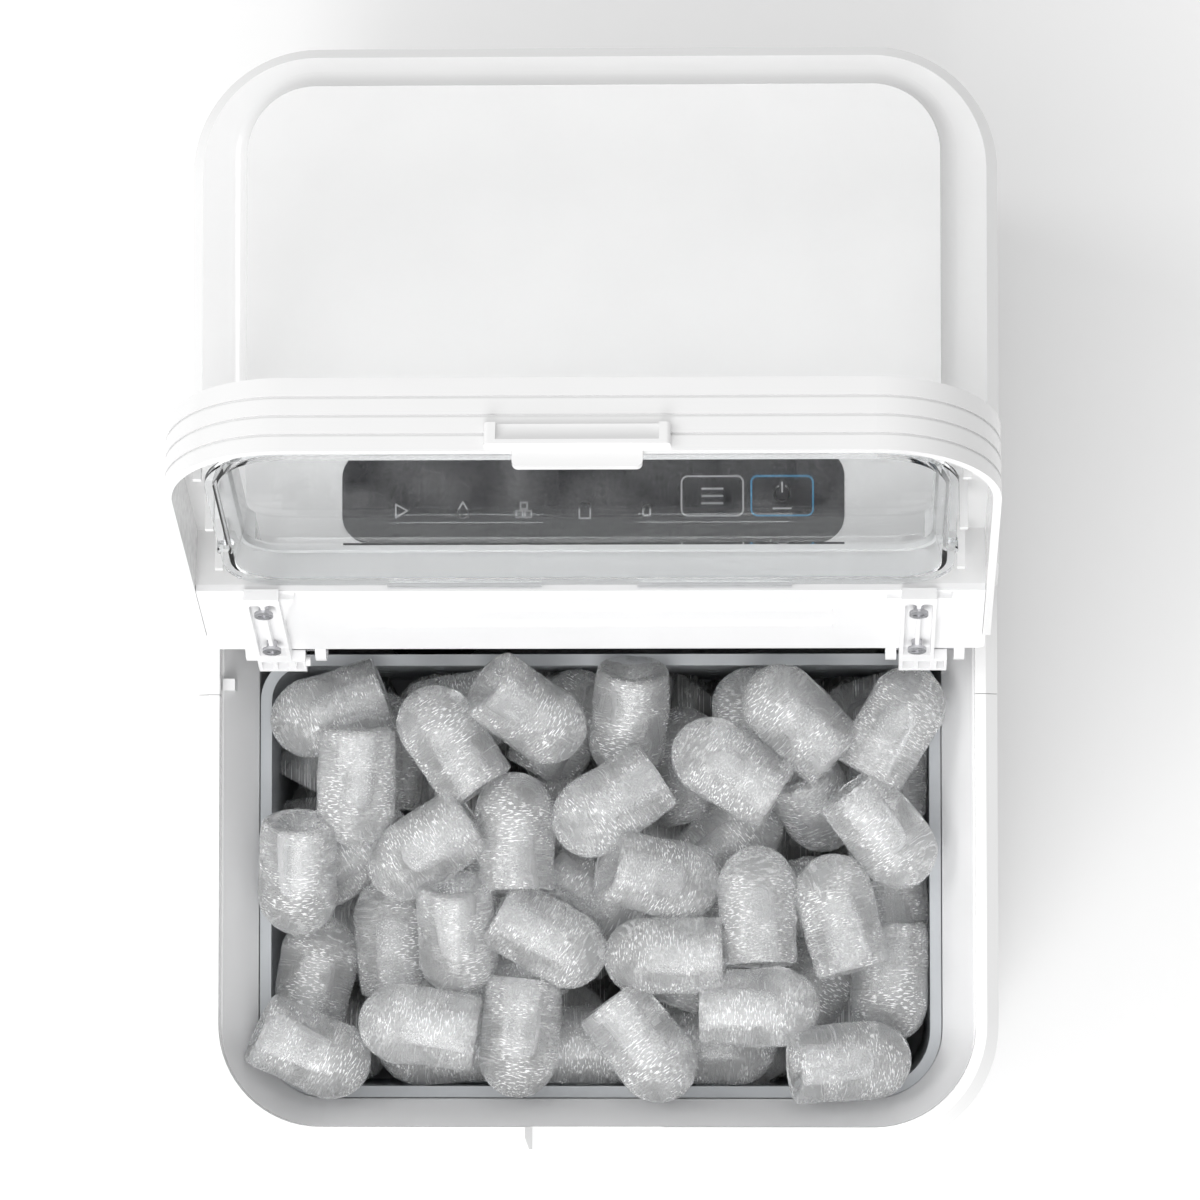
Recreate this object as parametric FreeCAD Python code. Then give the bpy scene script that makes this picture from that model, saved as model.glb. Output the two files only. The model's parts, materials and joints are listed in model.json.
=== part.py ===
"""Countertop bullet-ice maker, built as separate solids in millimetres.

Frame: origin on the floor under the middle of the body, +Z up, -Y the front where the lid opens,
+X the right-hand side. The lid is drawn standing open on its stop, turned up from shut about the
hinge pins.
"""

import FreeCAD, Part
import math
import os

V = FreeCAD.Vector
X, Y, Z = V(1, 0, 0), V(0, 1, 0), V(0, 0, 1)
os.makedirs("parts", exist_ok=True)

# --- driving dimensions -------------------------------------------------------------------
WIDTH = 225.0
DEPTH = 308.0
CORNER = 35.0          # plan corner radius of the casing
WALL = 2.5
FOOT = 6.0             # height of the rubber feet
CASE_LOW = 6.5
RIM_Z = 285.0          # top of the chamber rim, where the shut lid rests
RIM_WIDE = 6.3         # rim from outer wall to chamber opening
RIM_SLOPE = 3.3        # part of the rim that falls away outwards
RIM_DROP = 2.7
RIM_TALL = 7.4
SEAM_Y = -26.6         # joint of front and rear shells
COVER_Z = 306.0        # border of the rear cover and top of the shut lid
PLATEAU_Z = 311.0      # raised field of the rear cover
GAP = 0.3              # between panels that part

HINGE_Y, HINGE_Z = -12.0, 290.0
OPEN_DEG = 109.0       # lid angle on its stop
ROLL = COVER_Z - HINGE_Z   # radius of the lid's rounded rear edge
ROLL_X = 103.6             # its half length, inside the liner's flared mouth
HINGE_X = 89.5         # middle of each hinge arm
PIN_R = 2.5
RUN = 0.05             # radial running clearance

LID_X = 109.8          # half width of the lid
LID_LOW = RIM_Z + GAP
LID_WALL = 2.2
LID_CORNER = 33.0
SKIRT_END = -28.0      # side skirts stop here
LAND_FRONT, LAND_REAR = -60.0, -18.0   # closed rear part of the lid
LAND_LOW = 285.5
WINDOW_X = 97.0

LINER_X = 97.5         # half width inside the chamber
LINER_FRONT, LINER_STEP, LINER_BACK = -140.5, 30.0, 82.0
LINER_WALL = 2.0
TANK_FLOOR, SHELF_FLOOR = 92.0, 160.0
LINER_BEND = 258.0     # the chamber flares out above this height
LINER_TOP = 277.5

TRAY_Y, TRAY_Z = 38.0, 246.0   # axis of the water tray and ice shovel
TRAY_R, TRAY_X = 36.5, 66.0
SHAFT_R = 4.0
ROD_R, ROD_PITCH, ROD_ROW = 4.5, 24.0, 12.5
TUBE_R = 4.8

FAN_X, FAN_Y, FAN_Z = 56.0, 106.0, 78.0
DRAIN_Y, DRAIN_Z = -100.0, 103.0


# --- helpers ------------------------------------------------------------------------------
def box(x0, x1, y0, y1, z0, z1):
    return Part.makeBox(x1 - x0, y1 - y0, z1 - z0, V(x0, y0, z0))


def rod(start, axis, radius, length):
    return Part.makeCylinder(radius, length, start, axis)


def ring(start, axis, outer, inner, length):
    return rod(start, axis, outer, length).cut(rod(start, axis, inner, length))


def outline(x, y0, y1, z, front, rear):
    """Closed wire, symmetric about X = 0, with its own corner radius at the front and the rear."""
    corners = [(x, y0, front), (x, y1, rear), (-x, y1, rear), (-x, y0, front)]
    edges = []
    for i, (cx, cy, r) in enumerate(corners):
        nx, ny, nr = corners[(i + 1) % 4]
        along = V(nx - cx, ny - cy, 0).normalize()
        start = V(cx, cy, z) + along * r
        end = V(nx, ny, z) - along * nr
        edges.append(Part.makeLine(start, end))
        if nr > 0:
            turn = V(-along.y, along.x, 0)
            centre = end + turn * nr
            middle = centre + (along - turn).normalize() * nr
            edges.append(Part.Arc(end, middle, end + along * nr + turn * nr).toShape())
    return Part.Wire(edges)


def prism(x, y0, y1, z0, z1, front=0.0, rear=None):
    rear = front if rear is None else rear
    return Part.Face(outline(x, y0, y1, z0, front, rear)).extrude(V(0, 0, z1 - z0))


def loft(low, high):
    return Part.makeLoft([outline(*low), outline(*high)], True, True)


def profile_x(points, x0, x1):
    """A polygon drawn in Y and Z, drawn out along X."""
    wire = Part.makePolygon([V(x0, y, z) for y, z in points + points[:1]])
    return Part.Face(wire).extrude(V(x1 - x0, 0, 0))


def fuse(shapes):
    whole = shapes[0]
    if len(shapes) > 1:
        whole = whole.fuse(shapes[1:])
    return whole.removeSplitter()


def cut(shape, tools):
    return shape.cut(Part.makeCompound(tools)).removeSplitter()


def save(name, shape):
    if isinstance(shape, (list, tuple)):
        shape = Part.makeCompound(shape) if len(shape) > 1 else shape[0]
    assert shape.isValid(), name
    shape.exportStep("parts/%s.step" % name)


def pipe(points, radius, bend):
    """A round rod along straight runs joined by tangent arcs."""
    points = [V(*p) for p in points]
    edges, at = [], points[0]
    for before, corner, after in zip(points, points[1:], points[2:]):
        a = (before - corner).normalize()
        b = (after - corner).normalize()
        half = a.getAngle(b) / 2
        reach = bend / math.tan(half)
        centre = corner + (a + b).normalize() * (bend / math.sin(half))
        start, end = corner + a * reach, corner + b * reach
        middle = centre + (corner - centre).normalize() * bend
        edges += [Part.makeLine(at, start), Part.Arc(start, middle, end).toShape()]
        at = end
    edges.append(Part.makeLine(at, points[-1]))
    circle = Part.Wire(Part.makeCircle(radius, points[0], points[1] - points[0]))
    return Part.Wire(edges).makePipeShell([circle], True, False)


def screw(point, axis, head_r, head, shank_r, length):
    """A screw whose head stands out along axis and whose shank goes the other way."""
    top = rod(point, axis, head_r, head)
    slot = [Part.makeBox(head_r * 1.1, 0.8, 0.6, V(-head_r * 0.55, -0.4, head - 0.6)),
            Part.makeBox(0.8, head_r * 1.1, 0.6, V(-0.4, -head_r * 0.55, head - 0.6))]
    turn = FreeCAD.Placement(point, FreeCAD.Rotation(Z, axis))
    for s in slot:
        s.Placement = turn.multiply(s.Placement)
    return cut(top, slot).fuse(rod(point, axis * -1, shank_r, length)).removeSplitter()


def opened(shape):
    """Turns a lid piece from shut to its open stop."""
    shape = shape.copy()
    shape.rotate(V(0, HINGE_Y, HINGE_Z), X, -OPEN_DEG)
    return shape


def ramp_y(distance, z):
    """Y of the rear cover's sloping front face, at a distance from the hinge line."""
    lean = math.radians(OPEN_DEG - 90)
    return HINGE_Y + (distance + math.sin(lean) * (z - HINGE_Z)) / math.cos(lean)


# --- casing -------------------------------------------------------------------------------
def case_block(inset, z0, z1):
    return prism(WIDTH / 2 - inset, -DEPTH / 2 + inset, DEPTH / 2 - inset, z0, z1, CORNER - inset)


def case_tube():
    x, y = WIDTH / 2, DEPTH / 2
    shoulder = RIM_Z - RIM_DROP
    top = loft((x, -y, y, shoulder, CORNER, CORNER),
               (x - RIM_SLOPE, -y + RIM_SLOPE, y - RIM_SLOPE, RIM_Z, CORNER - RIM_SLOPE,
                CORNER - RIM_SLOPE))
    tube = fuse([case_block(0, CASE_LOW, shoulder), top])
    tube = tube.cut(case_block(WALL, CASE_LOW - 1, RIM_Z - RIM_TALL))
    return tube.cut(case_block(RIM_WIDE, RIM_Z - RIM_TALL - 1, RIM_Z + 1)).removeSplitter()


def front_shell(tube):
    shell = tube.common(box(-200, 200, -200, SEAM_Y, 0, 400))
    notch = profile_notch()
    ribs = [box(x - 1, x + 1, -DEPTH / 2 + WALL - 0.2, -DEPTH / 2 + WALL + 2.2, 20, 80)
            for x in (-60, 0, 60)]
    shell = fuse([shell] + ribs).cut(notch)
    pocket = ring(V(-WIDTH / 2 + 1.0, DRAIN_Y, DRAIN_Z), X, 18.0, 15.0, 9.0)
    floor = ring(V(-WIDTH / 2 + 8.0, DRAIN_Y, DRAIN_Z), X, 18.0, 9.2, 2.0)
    mouth = rod(V(-WIDTH / 2 - 1, DRAIN_Y, DRAIN_Z), X, 15.0, 6.0)
    return fuse([shell.cut(mouth), pocket, floor])


def profile_notch():
    """Where the lid's finger lip drops through the front rim."""
    low, high, z = 18.2, 20.4, 280.2
    wire = Part.makePolygon([V(-low, -160, z), V(low, -160, z), V(high, -160, RIM_Z + 1),
                             V(-high, -160, RIM_Z + 1), V(-low, -160, z)])
    return Part.Face(wire).extrude(V(0, 160 - DEPTH / 2 + RIM_WIDE + 0.5, 0))


def slots(x0, x1, z0, z1, pitch, tall, y0, y1):
    """Round-ended air slots through a wall that faces Y."""
    out, z, r = [], z0, tall / 2
    while z <= z1:
        out.append(box(x0 + r, x1 - r, y0, y1, z - r, z + r))
        out += [rod(V(x, y0, z), Y, r, y1 - y0) for x in (x0 + r, x1 - r)]
        z += pitch
    return out


def side_slots(y0, y1, z0, z1, pitch, tall, x0, x1):
    out, z, r = [], z0, tall / 2
    while z <= z1:
        out.append(box(x0, x1, y0 + r, y1 - r, z - r, z + r))
        out += [rod(V(x0, y, z), X, r, x1 - x0) for y in (y0 + r, y1 - r)]
        z += pitch
    return out


def rear_shell(tube):
    shell = tube.common(box(-200, 200, SEAM_Y + 0.15, 200, 0, 400))
    y0, y1 = DEPTH / 2 - WALL - 1, DEPTH / 2 + 1
    holes = slots(10, 54, 30, 132, 7.5, 3.4, y0, y1) + slots(60, 104, 30, 132, 7.5, 3.4, y0, y1)
    for side in (-1, 1):
        x0, x1 = sorted((side * (WIDTH / 2 - WALL - 1), side * (WIDTH / 2 + 1)))
        holes += side_slots(66, 112, 36, 130, 7.5, 3.4, x0, x1)
    holes.append(rod(V(-60, y0, 34), Y, 9.0, 6))
    return cut(shell, holes)


def base_plate():
    plate = prism(109.8, -151.3, 151.3, FOOT, FOOT + 1.5, 32)
    flange = prism(109.8, -151.3, 151.3, FOOT + 1.5, FOOT + 14, 32)
    flange = flange.cut(prism(108.4, -149.9, 149.9, FOOT + 1, FOOT + 15, 30.6))
    vents = [box(x - 14, x + 14, y - 1.5, y + 1.5, FOOT - 1, FOOT + 3)
             for x in (-40, 0, 40) for y in (-30, -20, -10, 0, 10)]
    holes = [rod(V(x, y, FOOT - 1), Z, 2.1, 4) for x, y in foot_places() + base_screw_places()]
    return cut(fuse([plate, flange]), vents + holes)


def foot_places():
    return [(sx * 70.0, sy * 132.0) for sx in (-1, 1) for sy in (-1, 1)]


def base_screw_places():
    return [(sx * 100.0, y) for sx in (-1, 1) for y in (-70.0, 10.0, 90.0)]


def feet():
    out = []
    for x, y in foot_places():
        pad = Part.makeCone(9.0, 11.0, FOOT, V(x, y, 0))
        pad = pad.cut(rod(V(x, y, -1), Z, 5.0, 3.5)).cut(rod(V(x, y, 0), Z, 2.1, 10))
        out.append(pad)
    return out


def base_screws():
    low = [screw(V(x, y, FOOT), Z * -1, 3.6, 2.0, 1.9, 9.0) for x, y in base_screw_places()]
    return low + [screw(V(x, y, 2.5), Z * -1, 4.2, 1.8, 1.9, 9.0) for x, y in foot_places()]


# --- rear cover and controls --------------------------------------------------------------
PLATEAU_X, PLATEAU_BACK, PLATEAU_R = 96.3, 142.0, 19.0
COVER_SLOPE, COVER_FALL = 3.25, 6.0


def cover_block(inset, z0, border, plateau, distance, cove):
    x, y = WIDTH / 2 - inset, DEPTH / 2 - inset
    r, low = CORNER - inset, border - COVER_FALL
    front = -40.0
    body = prism(x, front, y, z0, low, 0, r)
    s = COVER_SLOPE
    top = loft((x, front, y, low, 0, r), (x - s, front, y - s, border, 0, r - s))
    raised = prism(PLATEAU_X - inset, front, PLATEAU_BACK - inset, border - 1, plateau,
                   0, PLATEAU_R - inset)
    block = fuse([body, top, raised])
    if cove:
        foot = [e for e in block.Edges if on_plateau_foot(e, border)]
        block = block.makeFillet(cove, foot)
    wedge = [(-80, z0 - 5), (ramp_y(distance, z0 - 5), z0 - 5),
             (ramp_y(distance, 330), 330), (-80, 330)]
    return block.cut(profile_x(wedge, -150, 150)).removeSplitter()


def on_plateau_foot(edge, z):
    b = edge.BoundBox
    flat = abs(b.ZMin - z) < 0.01 and abs(b.ZMax - z) < 0.01
    inside = b.XMax < PLATEAU_X + 0.01 and b.XMin > -PLATEAU_X - 0.01
    return flat and inside and b.YMax < PLATEAU_BACK + 0.01 and b.YMax > -39


def rear_cover():
    outer = cover_block(0, RIM_Z + GAP, COVER_Z, PLATEAU_Z, ROLL + 0.5, 4.8)
    inner = cover_block(WALL, RIM_Z - 5, COVER_Z - WALL, PLATEAU_Z - WALL, ROLL + 0.5 + WALL, 0)
    pocket = panel_block(0.1, PLATEAU_Z - 1.4, PLATEAU_Z + 1)
    shelf = panel_block(3.0, PLATEAU_Z - 3.6, PLATEAU_Z - 1.3)
    posts = [ring(V(x, y, RIM_Z + GAP), Z, 4.0, 1.4, 20) for x, y in cover_screw_places()]
    return fuse([outer.cut(inner), shelf] + posts).cut(pocket)


def cover_screw_places():
    return [(sx * 98.0, y) for sx in (-1, 1) for y in (60.0, 118.0)]


PANEL_X, PANEL_FRONT, PANEL_BACK = 69.5, 15.4, 41.2


def panel_block(grow, z0, z1):
    return prism(PANEL_X + grow, PANEL_FRONT - grow, PANEL_BACK + grow, z0, z1, 7.5 + grow)


KEYS = {"mode_key_outline": 33.0, "power_key_outline": 52.3}
LAMPS = (-53.2, -36.1, -19.2, -2.3, 14.8)   # one behind each legend
KEY_HALF, KEY_LOW, KEY_HIGH, KEY_LINE = 8.75, 22.6, 34.0, 0.45


def key_ring(x, sink):
    z0, z1 = PLATEAU_Z - sink, PLATEAU_Z
    whole = prism(KEY_HALF, KEY_LOW, KEY_HIGH, z0, z1, 2.0)
    hole = prism(KEY_HALF - KEY_LINE, KEY_LOW + KEY_LINE, KEY_HIGH - KEY_LINE, z0 - 1, z1 + 1,
                 2.0 - KEY_LINE)
    frame = whole.cut(hole)
    frame.translate(V(x, 0, 0))
    return frame


def controls():
    glass = panel_block(0, PLATEAU_Z - 1.4, PLATEAU_Z)
    rings = {name: key_ring(x, 0.3) for name, x in KEYS.items()}
    save("control_panel", cut(glass, list(rings.values())))
    for name, shape in rings.items():
        save(name, shape)
    board_z = PLATEAU_Z - 12.0
    board = box(-66, 66, 24, 46, board_z, board_z + 1.6)
    chip = box(-20, -8, 30, 42, board_z - 2.2, board_z)
    plug = box(20, 38, 38, 45, board_z - 6, board_z)
    save("control_board", fuse([board, chip, plug]))
    leds = [box(x - 1.6, x + 1.6, 27.4, 30.6, board_z + 1.6, board_z + 3.4)
            for x in LAMPS]
    save("indicator_leds", leds)
    springs = [ring(V(x, 28.3, board_z + 1.6), Z, 3.2, 2.4, 6.8) for x in KEYS.values()]
    save("touch_springs", springs)
    stands = [rod(V(x, y, RIM_Z - 0.3), Z, 2.4, board_z - RIM_Z + 0.3)
              for x in (-61, 61) for y in (28, 42)]
    save("control_board_posts", stands)


def ceiling_plate():
    plate = prism(105.0, 5.0, 146.0, 282.2, 284.7, 0, 26)
    rim = prism(105.0, 5.0, 146.0, 277.6, 282.2, 0, 26).cut(prism(103.0, 4, 144.0, 277, 283, 0, 24))
    rim = rim.cut(box(-200, 200, 0, LINER_BACK + 6, 270, 290))
    holes = [rod(V(x, y, 280), Z, 1.6, 6) for x, y in cover_screw_places()]
    return cut(fuse([plate, rim]), holes)


def hinge_bracket(x0, x1):
    """Two ears on a foot that is screwed under the ceiling plate."""
    ear = [(-16.4, 287.4), (-8.4, 293.0), (4.0, 284.0), (4.0, 282.2), (24.0, 282.2), (24.0, 279.2),
           (-3.0, 279.2)]
    ears = []
    for a in (x0, x1 - 3.0):
        plate = profile_x(ear, a, a + 3.0).fuse(rod(V(a, HINGE_Y, HINGE_Z), X, 5.2, 3.0))
        ears.append(plate.removeSplitter())
    foot = box(x0, x1, 7.0, 24.0, 279.2, 282.2)
    return fuse(ears + [foot]).cut(rod(V(x0 - 1, HINGE_Y, HINGE_Z), X, PIN_R, x1 - x0 + 2))


BRACKETS = {"left": (-98.0, -75.5), "right": (81.0, 103.0)}


def hinge_pins():
    return [rod(V(a, HINGE_Y, HINGE_Z), X, PIN_R, b - a) for a, b in BRACKETS.values()]


# --- chamber ------------------------------------------------------------------------------
def chamber_block(grow, top):
    """The room inside the liner, grown by a wall, up to a height."""
    x, flare = LINER_X + grow, (top - LINER_BEND) * 0.42
    front, back = LINER_FRONT - grow, LINER_BACK + grow
    tank = prism(x, front, LINER_STEP + grow, TANK_FLOOR - grow, LINER_BEND, 20 + grow, 8 + grow)
    shelf = prism(x, 0.0, back, SHELF_FLOOR - grow, LINER_BEND, 0, 0)
    mouth = loft((x, front, back, LINER_BEND, 20 + grow, 0),
                 (x + flare, front - flare, back, top, 20 + flare + grow, 0))
    return fuse([tank, shelf, mouth])


def chamber_liner():
    outer, inner = chamber_block(LINER_WALL, LINER_TOP), chamber_block(0, LINER_TOP + 1)
    flange = prism(109.3, -150.8, LINER_BACK + LINER_WALL, LINER_TOP - 1.5, LINER_TOP, 31, 0)
    ledge = prism(LINER_X + 1, LINER_FRONT - 1, -20, 164, 168, 21, 0)
    ledge = ledge.cut(prism(LINER_X - 4, LINER_FRONT + 4, -10, 160, 170, 16, 0))
    clip = box(-106.0, -102.5, -25.0, -21.7, LINER_TOP - 6, LINER_TOP + 1.5)
    liner = fuse([outer, flange]).cut(inner)
    liner = fuse([liner, ledge, clip])
    drain = rod(V(-LINER_X - 5, DRAIN_Y, DRAIN_Z), X, 6.0, 10)
    pipes = [rod(V(86, LINER_BACK - 5, 266), Y, 5.2, 12), rod(V(86, LINER_BACK - 5, 248), Y, 5.2, 12)]
    return cut(liner, [drain] + pipes)


def insulation_jacket():
    outer = prism(109.6, -151.2, LINER_STEP + 2, 78, 254, 32, 0)
    room = prism(LINER_X + 2.1, LINER_FRONT - 2.1, 200, TANK_FLOOR - 2.2, 300, 22, 0)
    drain = rod(V(-120, DRAIN_Y, DRAIN_Z), X, 18.6, 30)
    spine = [box(x - 1.3, x + 1.3, -152, -148.9, 70, 82) for x in (-60, 0, 60)]
    return cut(outer, [room, drain] + spine)


def ice_basket():
    """Perforated basket with a rolled rim, resting on the liner's ledge."""
    x, y0, y1, z0, z1 = 96.0, -139.0, -15.0, 168.0, 257.0
    outer = prism(x, y0, y1, z0, z1, 18, 12)
    inner = prism(x - 2, y0 + 2, y1 - 2, z0 + 2, z1 + 1, 16, 10)
    rim = prism(x + 1.2, y0 - 1.2, y1 + 1.2, z1 - 3, z1, 19.2, 13.2)
    rim = rim.cut(prism(x - 0.5, y0 + 0.5, y1 - 0.5, z1 - 4, z1 + 1, 17.5, 11.5))
    floor = [rod(V(i * 20.0, -120.0 + j * 18.0, z0 - 1), Z, 2.6, 4)
             for i in range(-4, 5) for j in range(6)]
    back = [rod(V(i * 16.0, y1 - 4, z0 + 18 + k * 16), Y, 2.0, 6)
            for i in range(-5, 6) for k in range(4)]
    return cut(fuse([outer.cut(inner), rim]), floor + back)


def ice_chute():
    """Sloping slatted floor that lets water through and carries ice to the basket."""
    top = [(-9.0, 194.0), (80.0, 199.0), (80.0, 201.0), (-9.0, 196.0)]
    plate = profile_x(top, -78, 78)
    gaps = [box(-70 + 48 * k, -26 + 48 * k, y, y + 3.2, 180, 215)
            for k in range(3) for y in range(0, 76, 9)]
    return cut(plate, gaps)


# --- freezing unit ------------------------------------------------------------------------
def sector(radius, low, high, x0, x1):
    """A slice of a disc about the tray axis, between two angles measured from +Y."""
    a, b = math.radians(low), math.radians(high)
    at = lambda t: V(x0, TRAY_Y + radius * math.cos(t), TRAY_Z + radius * math.sin(t))
    axis = V(x0, TRAY_Y, TRAY_Z)
    rim = Part.Arc(at(a), at((a + b) / 2), at(b)).toShape()
    wire = Part.Wire([Part.makeLine(axis, at(a)), rim, Part.makeLine(at(b), axis)])
    return Part.Face(wire).extrude(V(x1 - x0, 0, 0))


def on_tray_axis(x0, x1, radius):
    return rod(V(x0, TRAY_Y, TRAY_Z), X, radius, x1 - x0)


def water_tray():
    inner = TRAY_X - 2
    trough = sector(TRAY_R, 200, 340, -inner, inner)
    trough = trough.cut(on_tray_axis(-inner - 1, inner + 1, TRAY_R - 2))
    parts = [trough]
    for side in (-1, 1):
        a, b = sorted((side * inner, side * TRAY_X))
        parts += [sector(TRAY_R, 200, 340, a, b), on_tray_axis(a, b, 8.0)]
        a, b = sorted((side * inner, side * (TRAY_X + 7.8)))
        parts.append(on_tray_axis(a, b, SHAFT_R))
    ribs = [sector(TRAY_R - 1.5, 222, 318, x - 0.8, x + 0.8).cut(
        on_tray_axis(x - 1, x + 1, TRAY_R - 5)) for x in (-36, -12, 12, 36)]
    return fuse(parts + ribs)


def ice_shovel():
    low, high, rim = 205, 240, 41.0
    x1, x0 = TRAY_X + 3, TRAY_X + 1
    blade = sector(rim, low, high, -x1, x1).cut(on_tray_axis(-x1 - 1, x1 + 1, 38.5))
    teeth = [sector(rim + 1, high - 9, high + 1, x - 2, x + 2) for x in range(-56, 57, 14)]
    parts = [cut(blade, teeth)]
    for a, b in ((-x1, -x0), (x0, x1)):
        parts += [sector(rim, low + 4, high - 4, a, b), on_tray_axis(a, b, 8.5)]
    bore = on_tray_axis(-x1 - 1, x1 + 1, SHAFT_R + RUN)
    return fuse(parts).cut(bore)


def tray_bracket(side):
    """Hangs from the ceiling plate, carries one end of the tray and stands on the chute."""
    a, b = sorted((side * (TRAY_X + 4), side * (TRAY_X + 7)))
    sheet = profile_x([(14, 282.2), (64, 282.2), (50, 232), (50, 199.32), (20, 197.63), (26, 232)],
                      a, b)
    foot = box(*sorted((side * (TRAY_X + 4), side * (TRAY_X + 16))), 25, 64, 280.2, 282.2)
    rows = [rod(V(a - 1, TRAY_Y + s * ROD_ROW, TRAY_Z + 20), X, TUBE_R + 1.2, 5) for s in (-1, 1)]
    bore = on_tray_axis(a - 1, b + 1, SHAFT_R + RUN)
    return cut(fuse([sheet, foot]), rows + [bore])


def tray_motor():
    x = -TRAY_X - 8
    can = on_tray_axis(x - 17, x, 17.0)
    ears = box(x - 2.5, x, TRAY_Y - 24, TRAY_Y + 24, TRAY_Z - 5, TRAY_Z + 5)
    plug = box(x - 14, x - 5, TRAY_Y - 5, TRAY_Y + 5, TRAY_Z - 22, TRAY_Z - 14)
    return fuse([can, ears, plug])


def evaporator_tube():
    z = TRAY_Z + 20
    near, far = TRAY_Y - ROD_ROW, TRAY_Y + ROD_ROW
    out = 86.0
    low = [(out, LINER_BACK + 10, z - 0), (out, far, z), (-58, far, z), (-58, near, z), (78, near, z),
           (78, near, z - 18), (out, near, z - 18), (out, LINER_BACK + 10, z - 18)]
    return pipe(low, TUBE_R, 7.0)


def freezing_rods(tube):
    out = []
    rows = [(-ROD_ROW, [-48, -24, 0, 24, 48]), (ROD_ROW, [-36, -12, 12, 36])]
    low = TRAY_Z - 22
    for dy, places in rows:
        for x in places:
            at = V(x, TRAY_Y + dy, low + ROD_R)
            pin = rod(at, Z, ROD_R, TRAY_Z + 18 - at.z).fuse(Part.makeSphere(ROD_R, at))
            out.append(pin.removeSplitter().cut(tube))
    return out


def freezing_unit():
    tube = evaporator_tube()
    save("evaporator_tube", tube)
    save("freezing_rods", freezing_rods(tube))
    save("water_tray", water_tray())
    save("ice_shovel", ice_shovel())
    save("tray_bracket_left", tray_bracket(-1))
    save("tray_bracket_right", tray_bracket(1))
    save("tray_motor", tray_motor())
    save("ice_chute", ice_chute())


# --- water circuit ------------------------------------------------------------------------
def water_circuit():
    px, py = -58.0, 10.0
    body = rod(V(px, py, TANK_FLOOR + 8), Z, 17, 26).fuse(rod(V(px, py, 126), Z, 12, 10))
    spout = rod(V(px, py, 136), Z, 4.0, 10)
    save("water_pump", fuse([body, spout]))
    cage = ring(V(px, py, TANK_FLOOR), Z, 19, 17.6, 8)
    gaps = [box(px - 25, px + 25, py - 1 + d, py + 1 + d, TANK_FLOOR + 2, TANK_FLOOR + 6)
            for d in (-12, -6, 0, 6, 12)]
    deck = rod(V(px, py, TANK_FLOOR + 6.6), Z, 19, 1.4)
    save("pump_strainer", fuse([cut(cage, gaps), deck]))
    hose = [(px, py, 146), (px, py, 178), (-88, py, 178), (-88, py, 272), (px, py, 272),
            (px, py, 260)]
    tube = pipe(hose, 3.6, 6.0)
    save("water_hose", tube)
    probes = [rod(V(x, 8, 104), Z, 1.5, 40) for x in (60, 72)]
    holder = box(54, 78, 2, LINER_STEP, 144, 154)
    save("level_probes", fuse([holder] + probes))
    sensors = []
    for side in (-1, 1):
        a, b = sorted((side * (LINER_X - 7), side * (LINER_X + 0.0)))
        sensors.append(fuse([box(a, b, -9, 3, 246, 256),
                             rod(V(side * (LINER_X - 8), -3, 251), X * side, 2.5, 2)]))
    save("ice_sensors", sensors)
    spout = ring(V(-WIDTH / 2 + 4.5, DRAIN_Y, DRAIN_Z), X, 9.0, 6.0, 8.4)
    spout = spout.cut(rod(V(-LINER_X - 2, DRAIN_Y, DRAIN_Z), X, 12, 10))
    save("drain_spout", spout)
    plug = fuse([rod(V(-WIDTH / 2 + 1.0, DRAIN_Y, DRAIN_Z), X, 11.5, 3.3),
                 rod(V(-WIDTH / 2 + 4.2, DRAIN_Y, DRAIN_Z), X, 6.0 - RUN, 12)])
    grip = box(-WIDTH / 2 - 0.0, -WIDTH / 2 + 1.5, DRAIN_Y - 9, DRAIN_Y + 9, DRAIN_Z - 2, DRAIN_Z + 2)
    save("drain_plug", fuse([plug, grip]))


# --- refrigeration ------------------------------------------------------------------------
def compressor():
    cx, cy = -46.0, 94.0
    can = prism(46, -42, 42, 24, 132, 40)
    can = can.makeFillet(22, [e for e in can.Edges if abs(e.BoundBox.ZMin - e.BoundBox.ZMax) < 0.01])
    band = prism(47.5, -43.5, 43.5, 80, 84, 41.5)
    plate = prism(52, -48, 48, 20, 23, 10)
    legs = prism(34, -30, 30, 22.5, 40, 20)
    stub = [rod(V(20, -20, 120), Z, 4, 22), rod(V(26, 14, 118), Z, 3.2, 22)]
    holes = [rod(V(sx * 40, sy * 36, 10), Z, 3.2, 20) for sx in (-1, 1) for sy in (-1, 1)]
    whole = cut(fuse([can, band, plate, legs] + stub), holes)
    whole.translate(V(cx, cy, 0))
    save("compressor", whole)
    grommets, bolts = [], []
    for sx in (-1, 1):
        for sy in (-1, 1):
            at = V(cx + sx * 40, cy + sy * 36, FOOT + 1.5)
            grommets.append(ring(at, Z, 8, 3.2, 12.5))
            bolts.append(screw(V(at.x, at.y, 23.0), Z, 6.0, 3.0, 3.1, 15.4))
    save("compressor_grommets", grommets)
    save("compressor_bolts", bolts)
    save("compressor_terminal_cover", box(-70, -22, 43.0, 50.5, 48, 92))


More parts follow.
